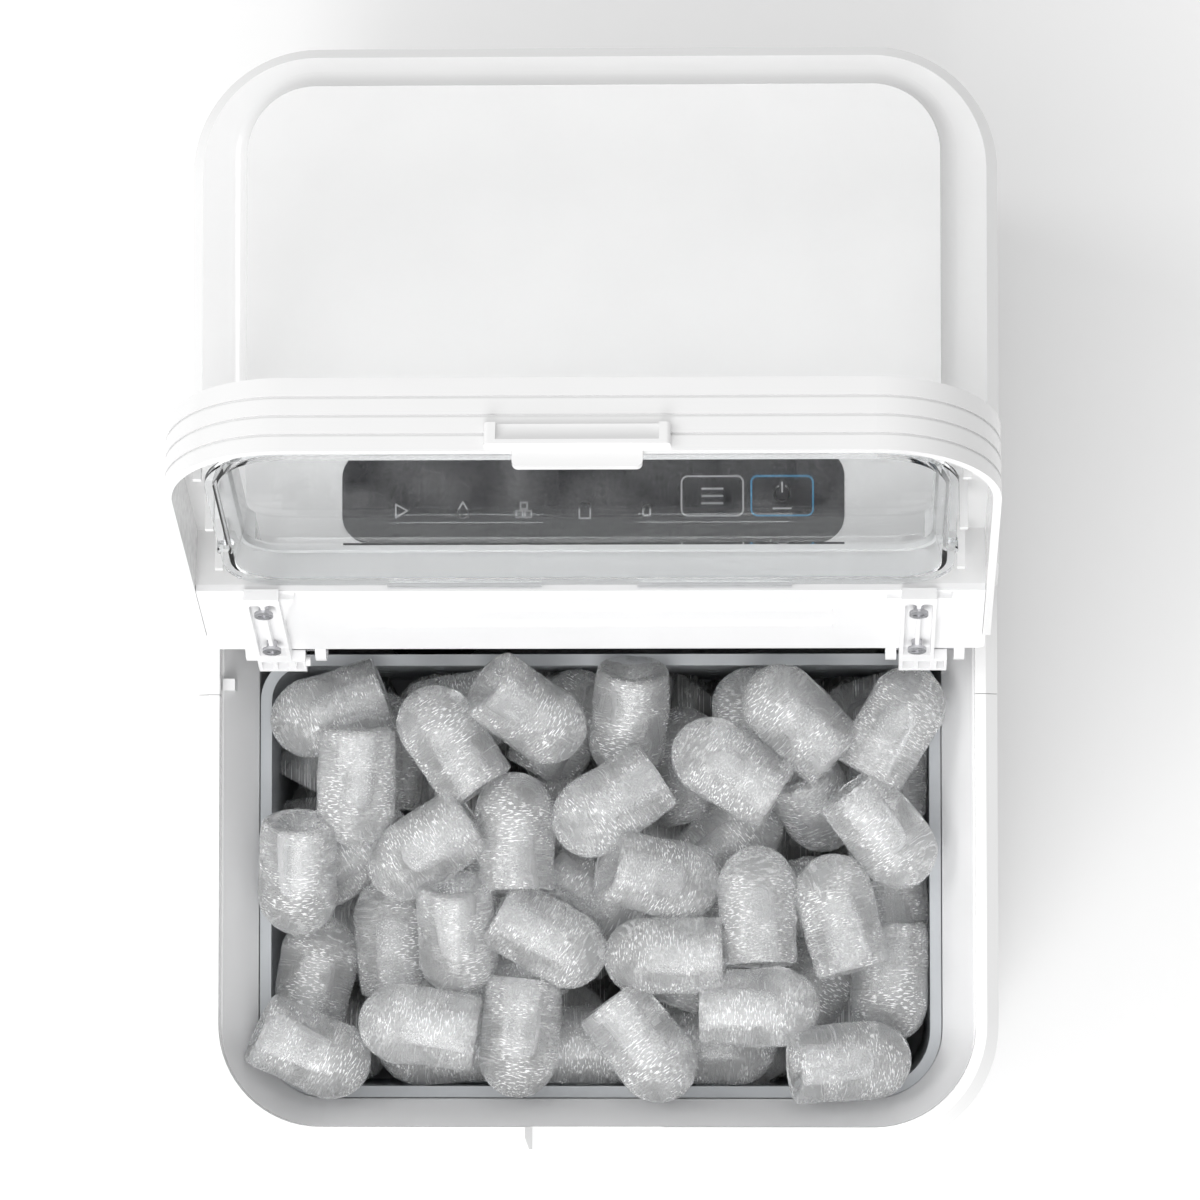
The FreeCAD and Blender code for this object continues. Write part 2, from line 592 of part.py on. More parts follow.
def condenser():
    x0, x1, y0, y1 = 12.0, 84.0, 124.0, 146.0
    rows, ys = [30 + 22 * k for k in range(5)], (129.0, 141.0)
    bore = [rod(V(x0 - 5, y, z), X, 3.5, x1 - x0 + 10) for z in rows for y in ys]
    fins = []
    for k in range(15):
        x = x0 + 4 + k * 4.5
        fins.append(cut(box(x, x + 0.5, y0, y1, 22, 130), bore))
    ends = [cut(box(x, x + 1.2, y0 - 3, y1 + 1, 20.5, 134), bore) for x in (x0, x1 - 1.2)]
    save("condenser_fins", fins)
    save("condenser_end_plates", ends)
    runs = [rod(V(x0 - 2, y, z), X, 3.5, x1 - x0 + 4) for z in rows for y in ys]
    mid = sum(ys) / 2
    bends = []
    for k, z in enumerate(rows):
        bends.append(half_loop(V(x1 + 2, mid, z), Y, 6.0, 1))
        if k < 4:
            y = ys[k % 2]
            bends.append(half_loop(V(x0 - 2, y, z + 11), Z, 11.0, -1))
    save("condenser_tubes", fuse(runs + bends))


def half_loop(centre, across, radius, side):
    """A return bend in copper tube, opening along X."""
    a, b = centre - across * radius, centre + across * radius
    arc = Part.Arc(a, centre + X * (side * radius), b).toShape()
    circle = Part.Wire(Part.makeCircle(3.5, a, X))
    return Part.Wire([arc]).makePipeShell([circle], True, False)


def fan():
    c = V(FAN_X, FAN_Y, FAN_Z)
    half = 48.0
    frame = box(c.x - half, c.x + half, c.y - 12, c.y + 12, c.z - half, c.z + half)
    frame = frame.cut(rod(V(c.x, c.y - 13, c.z), Y, 45.5, 26))
    arms = []
    for k in range(4):
        arm = box(c.x + 13, c.x + 47, c.y - 12, c.y - 9.5, c.z - 2, c.z + 2)
        arm.rotate(c, Y, 45 + 90 * k)
        arms.append(arm)
    plate = rod(V(c.x, c.y - 12, c.z), Y, 15, 2.5)
    feet_ = [box(c.x + s * 40 - 6, c.x + s * 40 + 6, c.y - 10, c.y + 10, FOOT + 1.5, c.z - half)
             for s in (-1, 1)]
    save("fan_shroud", fuse([frame, plate] + arms + feet_))
    shaft = rod(V(c.x, c.y - 9.5, c.z), Y, 2.0, 16)
    save("fan_motor", fuse([rod(V(c.x, c.y - 9.5, c.z), Y, 12, 9), shaft]))
    hub = rod(V(c.x, c.y - 9, c.z), Y, 15.5, 18)
    hub = hub.cut(rod(V(c.x, c.y - 10, c.z), Y, 12.6, 12.5))
    blades = []
    for k in range(7):
        blade = Part.makeBox(30.5, 14.0, 1.2, V(14.2, -7.0, -0.6))
        blade.rotate(V(0, 0, 0), X, 38)
        blade.translate(c)
        blade.rotate(c, Y, k * 360.0 / 7)
        blades.append(blade)
    rotor = fuse([hub] + blades)
    rotor = rotor.cut(rod(V(c.x, c.y - 10, c.z), Y, 12.6, 12.5))
    save("cooling_fan", rotor.cut(rod(V(c.x, c.y - 10, c.z), Y, 2.0 + RUN, 30)))


def refrigerant_pipes():
    hot = pipe([(-26, 74, 142), (-26, 74, 153), (-4, 74, 153), (-4, 129, 153), (-4, 129, 118),
                (10, 129, 118)], 2.8, 5.0)
    cold = pipe([(-20, 108, 140), (-20, 108, 170), (86, 108, 170), (86, 108, 248),
                 (86, 92.0, 248)], 3.0, 7.0)
    feed = pipe([(86, 92.0, 266), (86, 126, 266), (40, 126, 266), (40, 126, 222)], 2.0, 6.0)
    save("refrigerant_pipes", [hot, cold, feed])
    body = Part.makeCone(3.5, 9.5, 9, V(40, 126, 162)).fuse(rod(V(40, 126, 171), Z, 9.5, 42))
    body = body.fuse(Part.makeCone(9.5, 3.5, 9, V(40, 126, 213)))
    save("filter_drier", fuse([body]))
    coil = box(-22, 6, 130, 146, 176, 204).fuse(rod(V(-8, 138, 204), Z, 7, 8))
    save("hot_gas_valve", coil.removeSplitter())


# --- electrics ----------------------------------------------------------------------------
def electrics():
    y = 97.0
    board = box(-100, -34, y, y + 1.6, 186, 262)
    save("power_board", board)
    lumps = [box(-96, -72, y + 1.6, y + 20, 190, 214), box(-66, -50, y + 1.6, y + 17, 192, 210),
             box(-96, -80, y + 1.6, y + 14, 240, 256), box(-72, -40, y + 1.6, y + 9, 250, 258)]
    cans = [rod(V(x, y + 1.6, 228), Y, 6, 16) for x in (-88, -70, -52)]
    save("power_board_parts", lumps + cans)
    posts = [rod(V(x, 84.0, z), Y, 3, y - 84.0) for x in (-96, -38) for z in (190, 258)]
    save("power_board_posts", posts)
    gland = rod(V(-60, 147.5, 34), Y, 9.0, 6.5).fuse(rod(V(-60, 147.5, 34), Y, 12.5, 4.0))
    save("cord_gland", gland.removeSplitter().cut(rod(V(-60, 140, 34), Y, 3.6, 20)))


# --- lid ----------------------------------------------------------------------------------
def lid_outline(inset, z0, z1, rear):
    return prism(LID_X - inset, -DEPTH / 2 + inset, rear, z0, z1, LID_CORNER - inset, 0)


def lid_roll(radius, x):
    """The rounded rear edge, an arc about the hinge line that ends 20 degrees above level."""
    def at(degrees):
        t = math.radians(degrees)
        return V(-x, HINGE_Y + radius * math.cos(t), HINGE_Z + radius * math.sin(t))
    centre = V(-x, HINGE_Y, HINGE_Z)
    arc = Part.Arc(at(20), at(55), at(90)).toShape()
    wire = Part.Wire([Part.makeLine(centre, at(20)), arc, Part.makeLine(at(90), centre)])
    return Part.Face(wire).extrude(V(2 * x, 0, 0))


HINGE_CUTS = {"left": (-101.0, -73.5), "right": (78.5, 105.3)}


def lid_frame():
    top = COVER_Z
    skirt = lid_outline(0, LID_LOW, top, SKIRT_END)
    skirt = skirt.cut(lid_outline(LID_WALL, LID_LOW - 1, top - LID_WALL, SKIRT_END + 1))
    for k in (1, 2, 3):
        z = top - 0.2 - k * 5.3
        groove = lid_outline(-1, z - 0.45, z + 0.45, SKIRT_END + 5)
        skirt = skirt.cut(groove.cut(lid_outline(0.6, z - 1, z + 1, SKIRT_END + 6)))
    land_x = LID_X - 1.4
    block = box(-land_x, land_x, SKIRT_END - 1, LAND_REAR, LAND_LOW + 2, top)
    hollow = box(-land_x + 2, land_x - 2, SKIRT_END - 5, LAND_REAR - 2, LAND_LOW, top - LID_WALL)
    inner_wall = box(-LID_X + 1, LID_X - 1, LAND_FRONT, LAND_FRONT + 2, LAND_LOW + 2, top - 1)
    plate = box(-ROLL_X, ROLL_X, LAND_REAR - 3, HINGE_Y + 0.01, top - LID_WALL, top)
    roll = lid_roll(ROLL, ROLL_X).cut(rod(V(-110, HINGE_Y, HINGE_Z), X, ROLL - LID_WALL, 220))
    webs = []
    for x in (-60, -20, 20, 60):
        web = lid_roll(ROLL - 1, ROLL_X).common(box(x - 1, x + 1, -50, 50, 0, 400))
        webs.append(web.fuse(box(x - 1, x + 1, LAND_REAR - 1, HINGE_Y, HINGE_Z, top - 1)))
    frame = fuse([skirt, block.cut(hollow), inner_wall, plate, roll] + webs)
    opening = window_loft(-0.3, PANE_TOP - 4, top + 1)
    collar = window_loft(-1.9, PANE_TOP - 3, top).cut(opening)
    ears = [box(a, b, LAND_REAR + 0.0, 30, 270, 320) for a, b in HINGE_CUTS.values()]
    frame = fuse([cut(frame, [opening] + ears), collar]).cut(bezel_room())
    return fuse([frame, bezel()] + snap_hooks())


def bezel_room():
    """What the sloping bezel leaves free behind the window, so that the open lid can be seen through."""
    points = [(-72.0, BEZEL_LOW[1]), BEZEL_LOW, BEZEL_HIGH, (BEZEL_HIGH[0], 308.0), (-72.0, 308.0)]
    return profile_x(points, -BEZEL_X, BEZEL_X)


def bezel():
    (y0, z0), (y1, z1) = BEZEL_LOW, BEZEL_HIGH
    slope = profile_x([(y0, z0), (y1, z1), (y1, z1 - 2), (y0, z0 - 2)], -BEZEL_X - 1.6, BEZEL_X + 1.6)
    cheeks = [profile_x([(y0, z0 - 1), (y1, z1), (y0, z1)], *sorted((s * BEZEL_X, s * (BEZEL_X + 1.6))))
              for s in (-1, 1)]
    return fuse([slope] + cheeks)


def snap_hooks():
    """Three wedge hooks a side that grip the window's flange."""
    out = []
    for side in (-1, 1):
        for y in (-126.0, -93.0, -66.0):
            x = side * 99.6
            wire = Part.makePolygon([V(x, y - 3.5, COVER_Z - 1), V(x, y + 3.5, COVER_Z - 1),
                                     V(x, y + 0.8, 289.5), V(x, y - 0.8, 289.5),
                                     V(x, y - 3.5, COVER_Z - 1)])
            out.append(Part.Face(wire).extrude(V(side * 2.2, 0, 0)))
    return out


WINDOW_FRONT, WINDOW_REAR, WINDOW_R = -146.0, -61.2, 20.0
WINDOW_LOW, DRAFT = 287.0, 4.5
PANE, PANE_TOP = 2.4, 299.2      # the pane sits well below the lid's top face
BEZEL_X, BEZEL_LOW, BEZEL_HIGH = 91.0, (-63.0, 298.4), (-44.5, COVER_Z)


def window_loft(inset, z0, z1):
    """The clear insert's outer form, narrowing upwards, cut between two heights."""
    span = COVER_Z - WINDOW_LOW
    low = (WINDOW_X - inset, WINDOW_FRONT + inset, WINDOW_REAR - inset, WINDOW_LOW,
           WINDOW_R - inset, WINDOW_R - 6 - inset)
    d = DRAFT * (1 + 6 / span)
    high = (low[0] - d, low[1] + d, low[2] - d, COVER_Z + 6, low[4] - d, low[5] - d)
    return loft(low, high).common(box(-200, 200, -200, 200, z0, z1))


def lid_window():
    outer = window_loft(0, WINDOW_LOW, PANE_TOP)
    inner = window_loft(1.8, WINDOW_LOW - 1, PANE_TOP - PANE)
    shell = outer.cut(inner)
    flange = prism(WINDOW_X + 1.6, WINDOW_FRONT - 1.6, WINDOW_REAR + 0.6, WINDOW_LOW,
                   WINDOW_LOW + 1.6, WINDOW_R + 1.6, WINDOW_R - 5.4)
    flange = flange.cut(window_loft(1.8, WINDOW_LOW - 1, COVER_Z))
    tabs = [box(x0, x1, WINDOW_REAR - 0.8, WINDOW_REAR + 0.9, WINDOW_LOW - 0.9, WINDOW_LOW + 1)
            for x0, x1 in ((-55, -13), (13, 55))]
    nubs = [rod(V(s * (WINDOW_X + 0.4), -84, WINDOW_LOW), Z, 2.0, 3.4) for s in (-1, 1)]
    return fuse([shell, flange] + tabs + nubs)


def lid_rear_panel():
    z0, z1 = LAND_LOW, LAND_LOW + 2
    wide = box(-LID_X + LID_WALL + 0.1, LID_X - LID_WALL - 0.1, LAND_FRONT, SKIRT_END, z0, z1)
    tail = box(-LID_X + 1.4, LID_X - 1.4, SKIRT_END, LAND_REAR, z0, z1)
    steps = [box(-66, 66, y, y + 3.0, z0 - 0.5, z0 + 0.4) for y in (-47, -36)]
    panel = fuse([wide, tail])
    corner = [e for e in panel.Edges if e.Length < 2.01 and abs(e.Vertexes[0].Y - LAND_REAR) < 0.01]
    panel = panel.makeFillet(2.0, corner)
    return fuse([panel] + steps)


def lid_handle():
    y = -DEPTH / 2
    ledge = Part.Face(outline(24.0, y - 2.6, y + 0.4, 286.2, 1.2, 0)).extrude(V(0, 0, 6.0))
    grip = rod(V(-30, y - 7.2, 291.2), X, 6.0, 60)
    grip = grip.common(box(-21, 21, -200, 0, 200, 400))
    lip = box(-16.8, 16.8, y + 0.2, y + 2.2, 280.9, 286.4)
    lip = lip.makeFillet(1.6, [e for e in lip.Edges if e.BoundBox.ZMax < 281 and e.Length < 3])
    return fuse([ledge.cut(grip), lip]).cut(lid_frame_wall())


def lid_frame_wall():
    whole = lid_outline(0, LID_LOW, COVER_Z, SKIRT_END)
    return whole.cut(lid_outline(LID_WALL, LID_LOW - 1, COVER_Z + 1, SKIRT_END + 1))


def hinge_arm(centre, nubs):
    """Ribbed arm with two channels, a cell box at its end and a boss on the pin."""
    half, low, high = 4.8, 282.2, LAND_LOW
    body = box(-half, half, LAND_FRONT - 1.5, -9.5, low, high)
    channels = [box(x, x + 3.2, -56, -21, low - 1, high - 0.9) for x in (-3.75, 0.55)]
    arches = [rod(V(x + 1.6, -56, low - 1), Z, 1.6, high - low + 0.1) for x in (-3.75, 0.55)]
    cells = [box(x, x + 3.2, -16.2, -11.0, low - 1, high - 0.6) for x in (-3.75, 0.55)]
    side = box(half - 0.1, half + 3.7, -17.4, -9.5, low, high)
    cells.append(box(half + 0.9, half + 2.9, -16.2, -11.0, low - 1, high - 0.6))
    gussets = []
    for s in (-1, 1):
        wire = Part.makePolygon([V(s * (half - 0.1), -59, high), V(s * (half + 4), -59, high),
                                 V(s * (half - 0.1), -42, high), V(s * (half - 0.1), -59, high)])
        gussets.append(Part.Face(wire).extrude(V(0, 0, -2.0)))
    arm = cut(fuse([body, side] + gussets), channels + arches + cells)
    boss = fuse([box(-half, half, LAND_REAR + 0.6, -9.5, high - 0.2, HINGE_Z),
                 rod(V(-half, HINGE_Y, HINGE_Z), X, 4.6, 2 * half)])
    whole = fuse([arm, boss]).cut(rod(V(-20, HINGE_Y, HINGE_Z), X, PIN_R + RUN, 40))
    if nubs:
        dots = [rod(V(x, -13.4, low + 1.5), X, 1.4, 1.3) for x in (half - 0.1, half + 3.6)]
        whole = fuse([whole] + dots)
    holes = [rod(V(0, y, low - 1), Z, 1.5, 6) for y in (-52.0, -26.0)]
    whole = cut(whole, holes)
    whole.translate(V(centre, 0, 0))
    return whole


def lid_screws():
    out = []
    for x in (-HINGE_X, HINGE_X):
        for y in (-52.0, -26.0):
            out.append(opened(screw(V(x, y, 282.2), Z * -1, 2.6, 0.9, 1.45, 5.0)))
    return out


def lid():
    save("lid_frame", opened(lid_frame()))
    save("lid_window", opened(lid_window()))
    panel = lid_rear_panel()
    holes = [rod(V(x, y, 280), Z, 1.45, 12) for x in (-HINGE_X, HINGE_X) for y in (-52.0, -26.0)]
    save("lid_rear_panel", opened(cut(panel, holes)))
    save("lid_handle", opened(lid_handle()))
    save("hinge_arm_left", opened(hinge_arm(-HINGE_X, True)))
    save("hinge_arm_right", opened(hinge_arm(HINGE_X, False)))
    save("lid_screws", lid_screws())


# --- everything ---------------------------------------------------------------------------
def casing():
    tube = case_tube()
    save("front_shell", front_shell(tube))
    save("rear_shell", rear_shell(tube))
    save("base_plate", base_plate())
    save("feet", feet())
    save("base_screws", base_screws())
    save("rear_cover", rear_cover())
    save("ceiling_plate", ceiling_plate())
    save("cover_screws", [screw(V(x, y, 282.2), Z * -1, 3.0, 1.8, 1.35, 10.0)
                          for x, y in cover_screw_places()])
    for side, (a, b) in BRACKETS.items():
        save("hinge_bracket_" + side, hinge_bracket(a, b))
    save("hinge_pins", hinge_pins())
    save("chamber_liner", chamber_liner())
    save("insulation_jacket", insulation_jacket())
    save("ice_basket", ice_basket())


casing()
controls()
freezing_unit()
water_circuit()
compressor()
condenser()
fan()
refrigerant_pipes()
electrics()
lid()
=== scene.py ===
"""Looks of the countertop ice maker: materials, printed legends, ice, floor, light and camera."""

import json
import math
import random

import bmesh
import bpy
import numpy as np
from mathutils import Matrix, Vector, noise


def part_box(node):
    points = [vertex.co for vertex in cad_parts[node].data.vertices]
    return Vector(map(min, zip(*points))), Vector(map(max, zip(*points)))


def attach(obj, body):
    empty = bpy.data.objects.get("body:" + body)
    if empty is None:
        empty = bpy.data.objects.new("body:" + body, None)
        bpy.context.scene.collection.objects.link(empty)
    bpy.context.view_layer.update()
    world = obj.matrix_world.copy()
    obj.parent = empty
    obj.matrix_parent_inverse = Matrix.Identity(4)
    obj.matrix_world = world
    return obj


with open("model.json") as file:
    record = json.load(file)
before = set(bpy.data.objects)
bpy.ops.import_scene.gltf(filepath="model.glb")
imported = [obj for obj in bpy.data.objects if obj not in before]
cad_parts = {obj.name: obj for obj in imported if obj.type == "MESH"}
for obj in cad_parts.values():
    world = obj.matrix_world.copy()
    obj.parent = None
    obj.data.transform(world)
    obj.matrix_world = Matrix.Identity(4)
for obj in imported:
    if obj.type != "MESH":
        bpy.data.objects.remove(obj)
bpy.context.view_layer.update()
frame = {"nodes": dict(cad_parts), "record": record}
NODES = frame["nodes"]
MM = 0.001


# --- node helpers -------------------------------------------------------------------------
class Shade:
    """One procedural material, built up by small calls."""

    def __init__(self, name, color, roughness, **fixed):
        self.mat = bpy.data.materials.new(name)
        self.mat.use_nodes = True
        self.tree = self.mat.node_tree
        self.shader = self.tree.nodes["Principled BSDF"]
        self.shader.inputs["Base Color"].default_value = (*color, 1)
        self.shader.inputs["Roughness"].default_value = roughness
        self.color = color
        self.roughness = roughness
        for key, value in fixed.items():
            self.shader.inputs[key.replace("_", " ")].default_value = value
        self.where = self.tree.nodes.new("ShaderNodeTexCoord").outputs["Object"]

    def node(self, kind, **values):
        made = self.tree.nodes.new("ShaderNode" + kind)
        for key, value in values.items():
            if key in made.inputs:
                made.inputs[key].default_value = value
            else:
                setattr(made, key, value)
        return made

    def link(self, a, b):
        self.tree.links.new(a, b)

    def noise(self, scale, detail=4.0, stretch=None, roughness=0.5):
        tex = self.node("TexNoise", Scale=scale, Detail=detail, Roughness=roughness)
        source = self.where
        if stretch:
            place = self.node("Mapping", Scale=stretch)
            self.link(source, place.inputs["Vector"])
            source = place.outputs["Vector"]
        self.link(source, tex.inputs["Vector"])
        return tex.outputs["Fac"]

    def spread(self, value, low, high, from_low=0.3, from_high=0.7):
        out = self.node("MapRange", **{"From Min": from_low, "From Max": from_high,
                                       "To Min": low, "To Max": high})
        self.link(value, out.inputs["Value"])
        return out.outputs["Result"]

    def vary_roughness(self, scale, amount, stretch=None):
        value = self.noise(scale, stretch=stretch)
        low, high = self.roughness - amount, self.roughness + amount
        self.link(self.spread(value, low, high), self.shader.inputs["Roughness"])
        return self

    def vary_color(self, scale, amount, stretch=None):
        value = self.noise(scale, stretch=stretch)
        mix = self.node("Mix", data_type="RGBA")
        mix.inputs[6].default_value = (*[c * (1 - amount) for c in self.color], 1)
        mix.inputs[7].default_value = (*[min(1.0, c * (1 + amount)) for c in self.color], 1)
        self.link(self.spread(value, 0, 1), mix.inputs["Factor"])
        self.link(mix.outputs[2], self.shader.inputs["Base Color"])
        return self

    def bump(self, scale, strength, distance, stretch=None, detail=3.0):
        out = self.node("Bump", Strength=strength, Distance=distance)
        self.link(self.noise(scale, detail, stretch), out.inputs["Height"])
        self.link(out.outputs["Normal"], self.shader.inputs["Normal"])
        return self


# --- materials ----------------------------------------------------------------------------
def moulded_gloss(name, color, roughness=0.2):
    """Glossy ABS: faint flow marks, hairline wear in the gloss and a very soft orange peel."""
    s = Shade(name, color, roughness, Coat_Weight=0.35, Coat_Roughness=0.08, IOR=1.5)
    return s.vary_roughness(420, 0.06).vary_color(35, 0.012).bump(900, 0.05, 0.0002).mat


def moulded_satin(name, color, roughness=0.42):
    """Satin plastic with a fine spark-eroded grain."""
    s = Shade(name, color, roughness, IOR=1.48)
    return s.vary_roughness(260, 0.08).vary_color(28, 0.02).bump(2600, 0.16, 0.0002).mat


def rubber(name, color):
    s = Shade(name, color, 0.7, IOR=1.45)
    return s.vary_roughness(300, 0.12).vary_color(90, 0.12).bump(1800, 0.3, 0.0003).mat


def metal(name, color, roughness, stretch):
    """Metal with drawn or brushed streaks along one axis."""
    s = Shade(name, color, roughness, Metallic=1.0)
    s.vary_roughness(160, roughness * 0.45, stretch).vary_color(60, 0.08, stretch)
    return s.bump(420, 0.12, 0.0002, stretch).mat


def enamel(name, color):
    s = Shade(name, color, 0.3, Coat_Weight=0.5, Coat_Roughness=0.15)
    return s.vary_roughness(180, 0.1).vary_color(40, 0.2).bump(500, 0.12, 0.0003).mat


def foam(name, color):
    """Bead foam: cells a few millimetres across."""
    s = Shade(name, color, 0.85)
    s.vary_color(120, 0.05).vary_roughness(150, 0.08)
    cells = s.node("TexVoronoi", Scale=260.0)
    s.link(s.where, cells.inputs["Vector"])
    dent = s.node("Bump", Strength=0.5, Distance=0.0006)
    s.link(cells.outputs["Distance"], dent.inputs["Height"])
    s.link(dent.outputs["Normal"], s.shader.inputs["Normal"])
    return s.mat


def clear_plastic(name):
    """Polished clear moulding: slightly cool, with faint ripples."""
    s = Shade(name, (0.97, 0.98, 0.985), 0.03, IOR=1.22, Transmission_Weight=1.0)
    return s.vary_roughness(60, 0.02).bump(30, 0.04, 0.0004).mat


def smoked_tray(name):
    s = Shade(name, (0.78, 0.83, 0.86), 0.18, IOR=1.49, Transmission_Weight=0.6)
    return s.vary_roughness(120, 0.08).vary_color(50, 0.05).bump(300, 0.08, 0.0003).mat


def overlay(name):
    """Dark gloss overlay: even tint, a trace of dust in the gloss."""
    s = Shade(name, (0.034, 0.034, 0.037), 0.3, IOR=1.35)
    return s.vary_roughness(700, 0.08).vary_color(80, 0.06).bump(1500, 0.04, 0.0001).mat


def print_ink(name, color, roughness=0.5):
    s = Shade(name, color, roughness)
    return s.vary_color(900, 0.08).vary_roughness(700, 0.1).bump(3000, 0.1, 0.00005).mat


def circuit(name):
    """Green solder mask with copper-toned traces below it."""
    s = Shade(name, (0.02, 0.16, 0.06), 0.35, Coat_Weight=0.4)
    s.vary_roughness(300, 0.08)
    bricks = s.node("TexBrick", Scale=260.0, Color1=(0.02, 0.16, 0.06, 1),
                    Color2=(0.03, 0.22, 0.08, 1), Mortar=(0.10, 0.32, 0.14, 1))
    s.link(s.where, bricks.inputs["Vector"])
    s.link(bricks.outputs["Color"], s.shader.inputs["Base Color"])
    return s.bump(800, 0.1, 0.0002).mat


NEEDLE_PITCH = 0.0025   # metres of needle pattern for each radian round the bullet


def ice(name):
    """Cloudy bullet ice: clear body, frosted skin and fine white needles of trapped air."""
    s = Shade(name, (0.98, 0.985, 0.99), 0.12, IOR=1.31, Transmission_Weight=0.66)
    parts = s.node("SeparateXYZ")
    s.link(s.where, parts.inputs["Vector"])
    angle = s.node("Math", operation="ARCTAN2")
    s.link(parts.outputs["Y"], angle.inputs[0])
    s.link(parts.outputs["Z"], angle.inputs[1])
    wrap = s.node("CombineXYZ")
    s.link(parts.outputs["X"], wrap.inputs["X"])
    turn = s.node("Math", operation="MULTIPLY")
    turn.inputs[1].default_value = NEEDLE_PITCH
    s.link(angle.outputs["Value"], turn.inputs[0])
    s.link(turn.outputs["Value"], wrap.inputs["Y"])
    needles = s.node("TexNoise", Scale=2400.0, Detail=3.0)
    s.link(wrap.outputs["Vector"], needles.inputs["Vector"])
    white = s.spread(needles.outputs["Fac"], 0.12, 1, 0.52, 0.66)
    patches = s.spread(s.noise(90, 3.0), 0.1, 1, 0.42, 0.58)
    both = s.node("Math", operation="MULTIPLY")
    s.link(white, both.inputs[0])
    s.link(patches, both.inputs[1])
    s.link(s.spread(both.outputs["Value"], 0.82, 0.1, 0, 1),
           s.shader.inputs["Transmission Weight"])
    s.link(s.spread(both.outputs["Value"], 0.05, 0.5, 0, 1), s.shader.inputs["Roughness"])
    return s.bump(260, 0.08, 0.0005, detail=2.0).mat


def floor_paper(name):
    s = Shade(name, (0.97, 0.97, 0.97), 0.8)
    return s.vary_color(3, 0.004).bump(300, 0.03, 0.0005).mat


MATERIALS = {
    "white_gloss": moulded_gloss("white_gloss", (0.83, 0.83, 0.83)),
    "white_satin": moulded_satin("white_satin", (0.90, 0.90, 0.905)),
    "basket_grey": moulded_satin("basket_grey", (0.50, 0.52, 0.54), 0.38),
    "tray_clear_grey": smoked_tray("smoked_tray"),
    "clear": clear_plastic("clear_window"),
    "panel_dark": overlay("panel_overlay"),
    "key_grey": print_ink("key_grey", (0.50, 0.50, 0.51)),
    "key_blue": print_ink("key_blue", (0.07, 0.32, 0.55)),
    "rubber": rubber("black_rubber", (0.03, 0.03, 0.03)),
    "plug_rubber": rubber("white_silicone", (0.75, 0.75, 0.74)),
    "foam": foam("bead_foam", (0.86, 0.86, 0.84)),
    "steel": metal("plated_steel", (0.62, 0.62, 0.64), 0.34, (1.0, 14.0, 14.0)),
    "black_enamel": enamel("black_enamel", (0.02, 0.02, 0.022)),
    "black_plastic": moulded_satin("black_plastic", (0.03, 0.03, 0.033), 0.5),
    "aluminium": metal("fin_aluminium", (0.80, 0.81, 0.82), 0.3, (1.0, 1.0, 18.0)),
    "copper": metal("drawn_copper", (0.80, 0.40, 0.24), 0.25, (20.0, 20.0, 1.0)),
    "nickel": metal("nickel_plate", (0.72, 0.71, 0.68), 0.18, (1.0, 12.0, 12.0)),
    "circuit": circuit("circuit_board"),
    "led": moulded_gloss("led_lens", (0.80, 0.80, 0.74), 0.3),
}


def dress_cad_nodes():
    slots = {e["node"]: e["material_slot"] for e in frame["record"]["subparts"]}
    for name, node in NODES.items():
        node.data.materials.clear()
        node.data.materials.append(MATERIALS[slots[name]])


# --- printed legends on the control panel -------------------------------------------------
LEGEND_Y = 24.4                             # mm, middle line of the legends
LAMPS = (-53.2, -36.1, -19.2, -2.3, 14.8)   # mm, over the indicator lamps
KEY_Y = 28.3                                # mm, middle line of the two keys
INK_RAISE, STROKE = 0.04 * MM, 0.42 * MM


def ribbon(points, closed=False, width=STROKE):
    """A thin raised line through points on the panel, in metres."""
    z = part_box("control_panel")[1][2]
    mesh = bmesh.new()
    count = len(points)
    pairs = [(i, (i + 1) % count) for i in range(count if closed else count - 1)]
    for i, j in pairs:
        a, b = Vector((*points[i], z)), Vector((*points[j], z))
        along = (b - a).normalized() * (width / 2)
        side = Vector((-along.y, along.x, 0))
        corners = [a - along - side, b + along - side, b + along + side, a - along + side]
        low = [mesh.verts.new(c) for c in corners]
        top = [mesh.verts.new(c + Vector((0, 0, INK_RAISE))) for c in corners]
        mesh.faces.new(low[::-1])
        mesh.faces.new(top)
        for k in range(4):
            mesh.faces.new((low[k], low[(k + 1) % 4], top[(k + 1) % 4], top[k]))
    return mesh


def circle(x, y, radius, start=0.0, end=360.0, steps=28):
    out = []
    for k in range(steps + 1):
        t = math.radians(start + (end - start) * k / steps)
        out.append((x + radius * math.cos(t), y + radius * math.sin(t)))
    return out


def bullet_outline(x, y, half, length):
    top = circle(x, y + length / 2 - half, half, 0, 180, 14)
    return top + [(x - half, y - length / 2), (x + half, y - length / 2)]


def legend(name, strokes, ink):
    whole = bmesh.new()
    for points, closed in strokes:
        part = ribbon([(px * MM, py * MM) for px, py in points], closed)
        data = bpy.data.meshes.new("stroke")
        part.to_mesh(data)
        whole.from_mesh(data)
        bpy.data.meshes.remove(data)
    mesh = bpy.data.meshes.new(name)
    whole.to_mesh(mesh)
    mesh.materials.append(ink)
    piece = bpy.data.objects.new(name, mesh)
    bpy.context.scene.collection.objects.link(piece)
    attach(piece, "body")


def key_middle(name):
    low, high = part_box(name)
    return (low[0] + high[0]) / 2 / MM


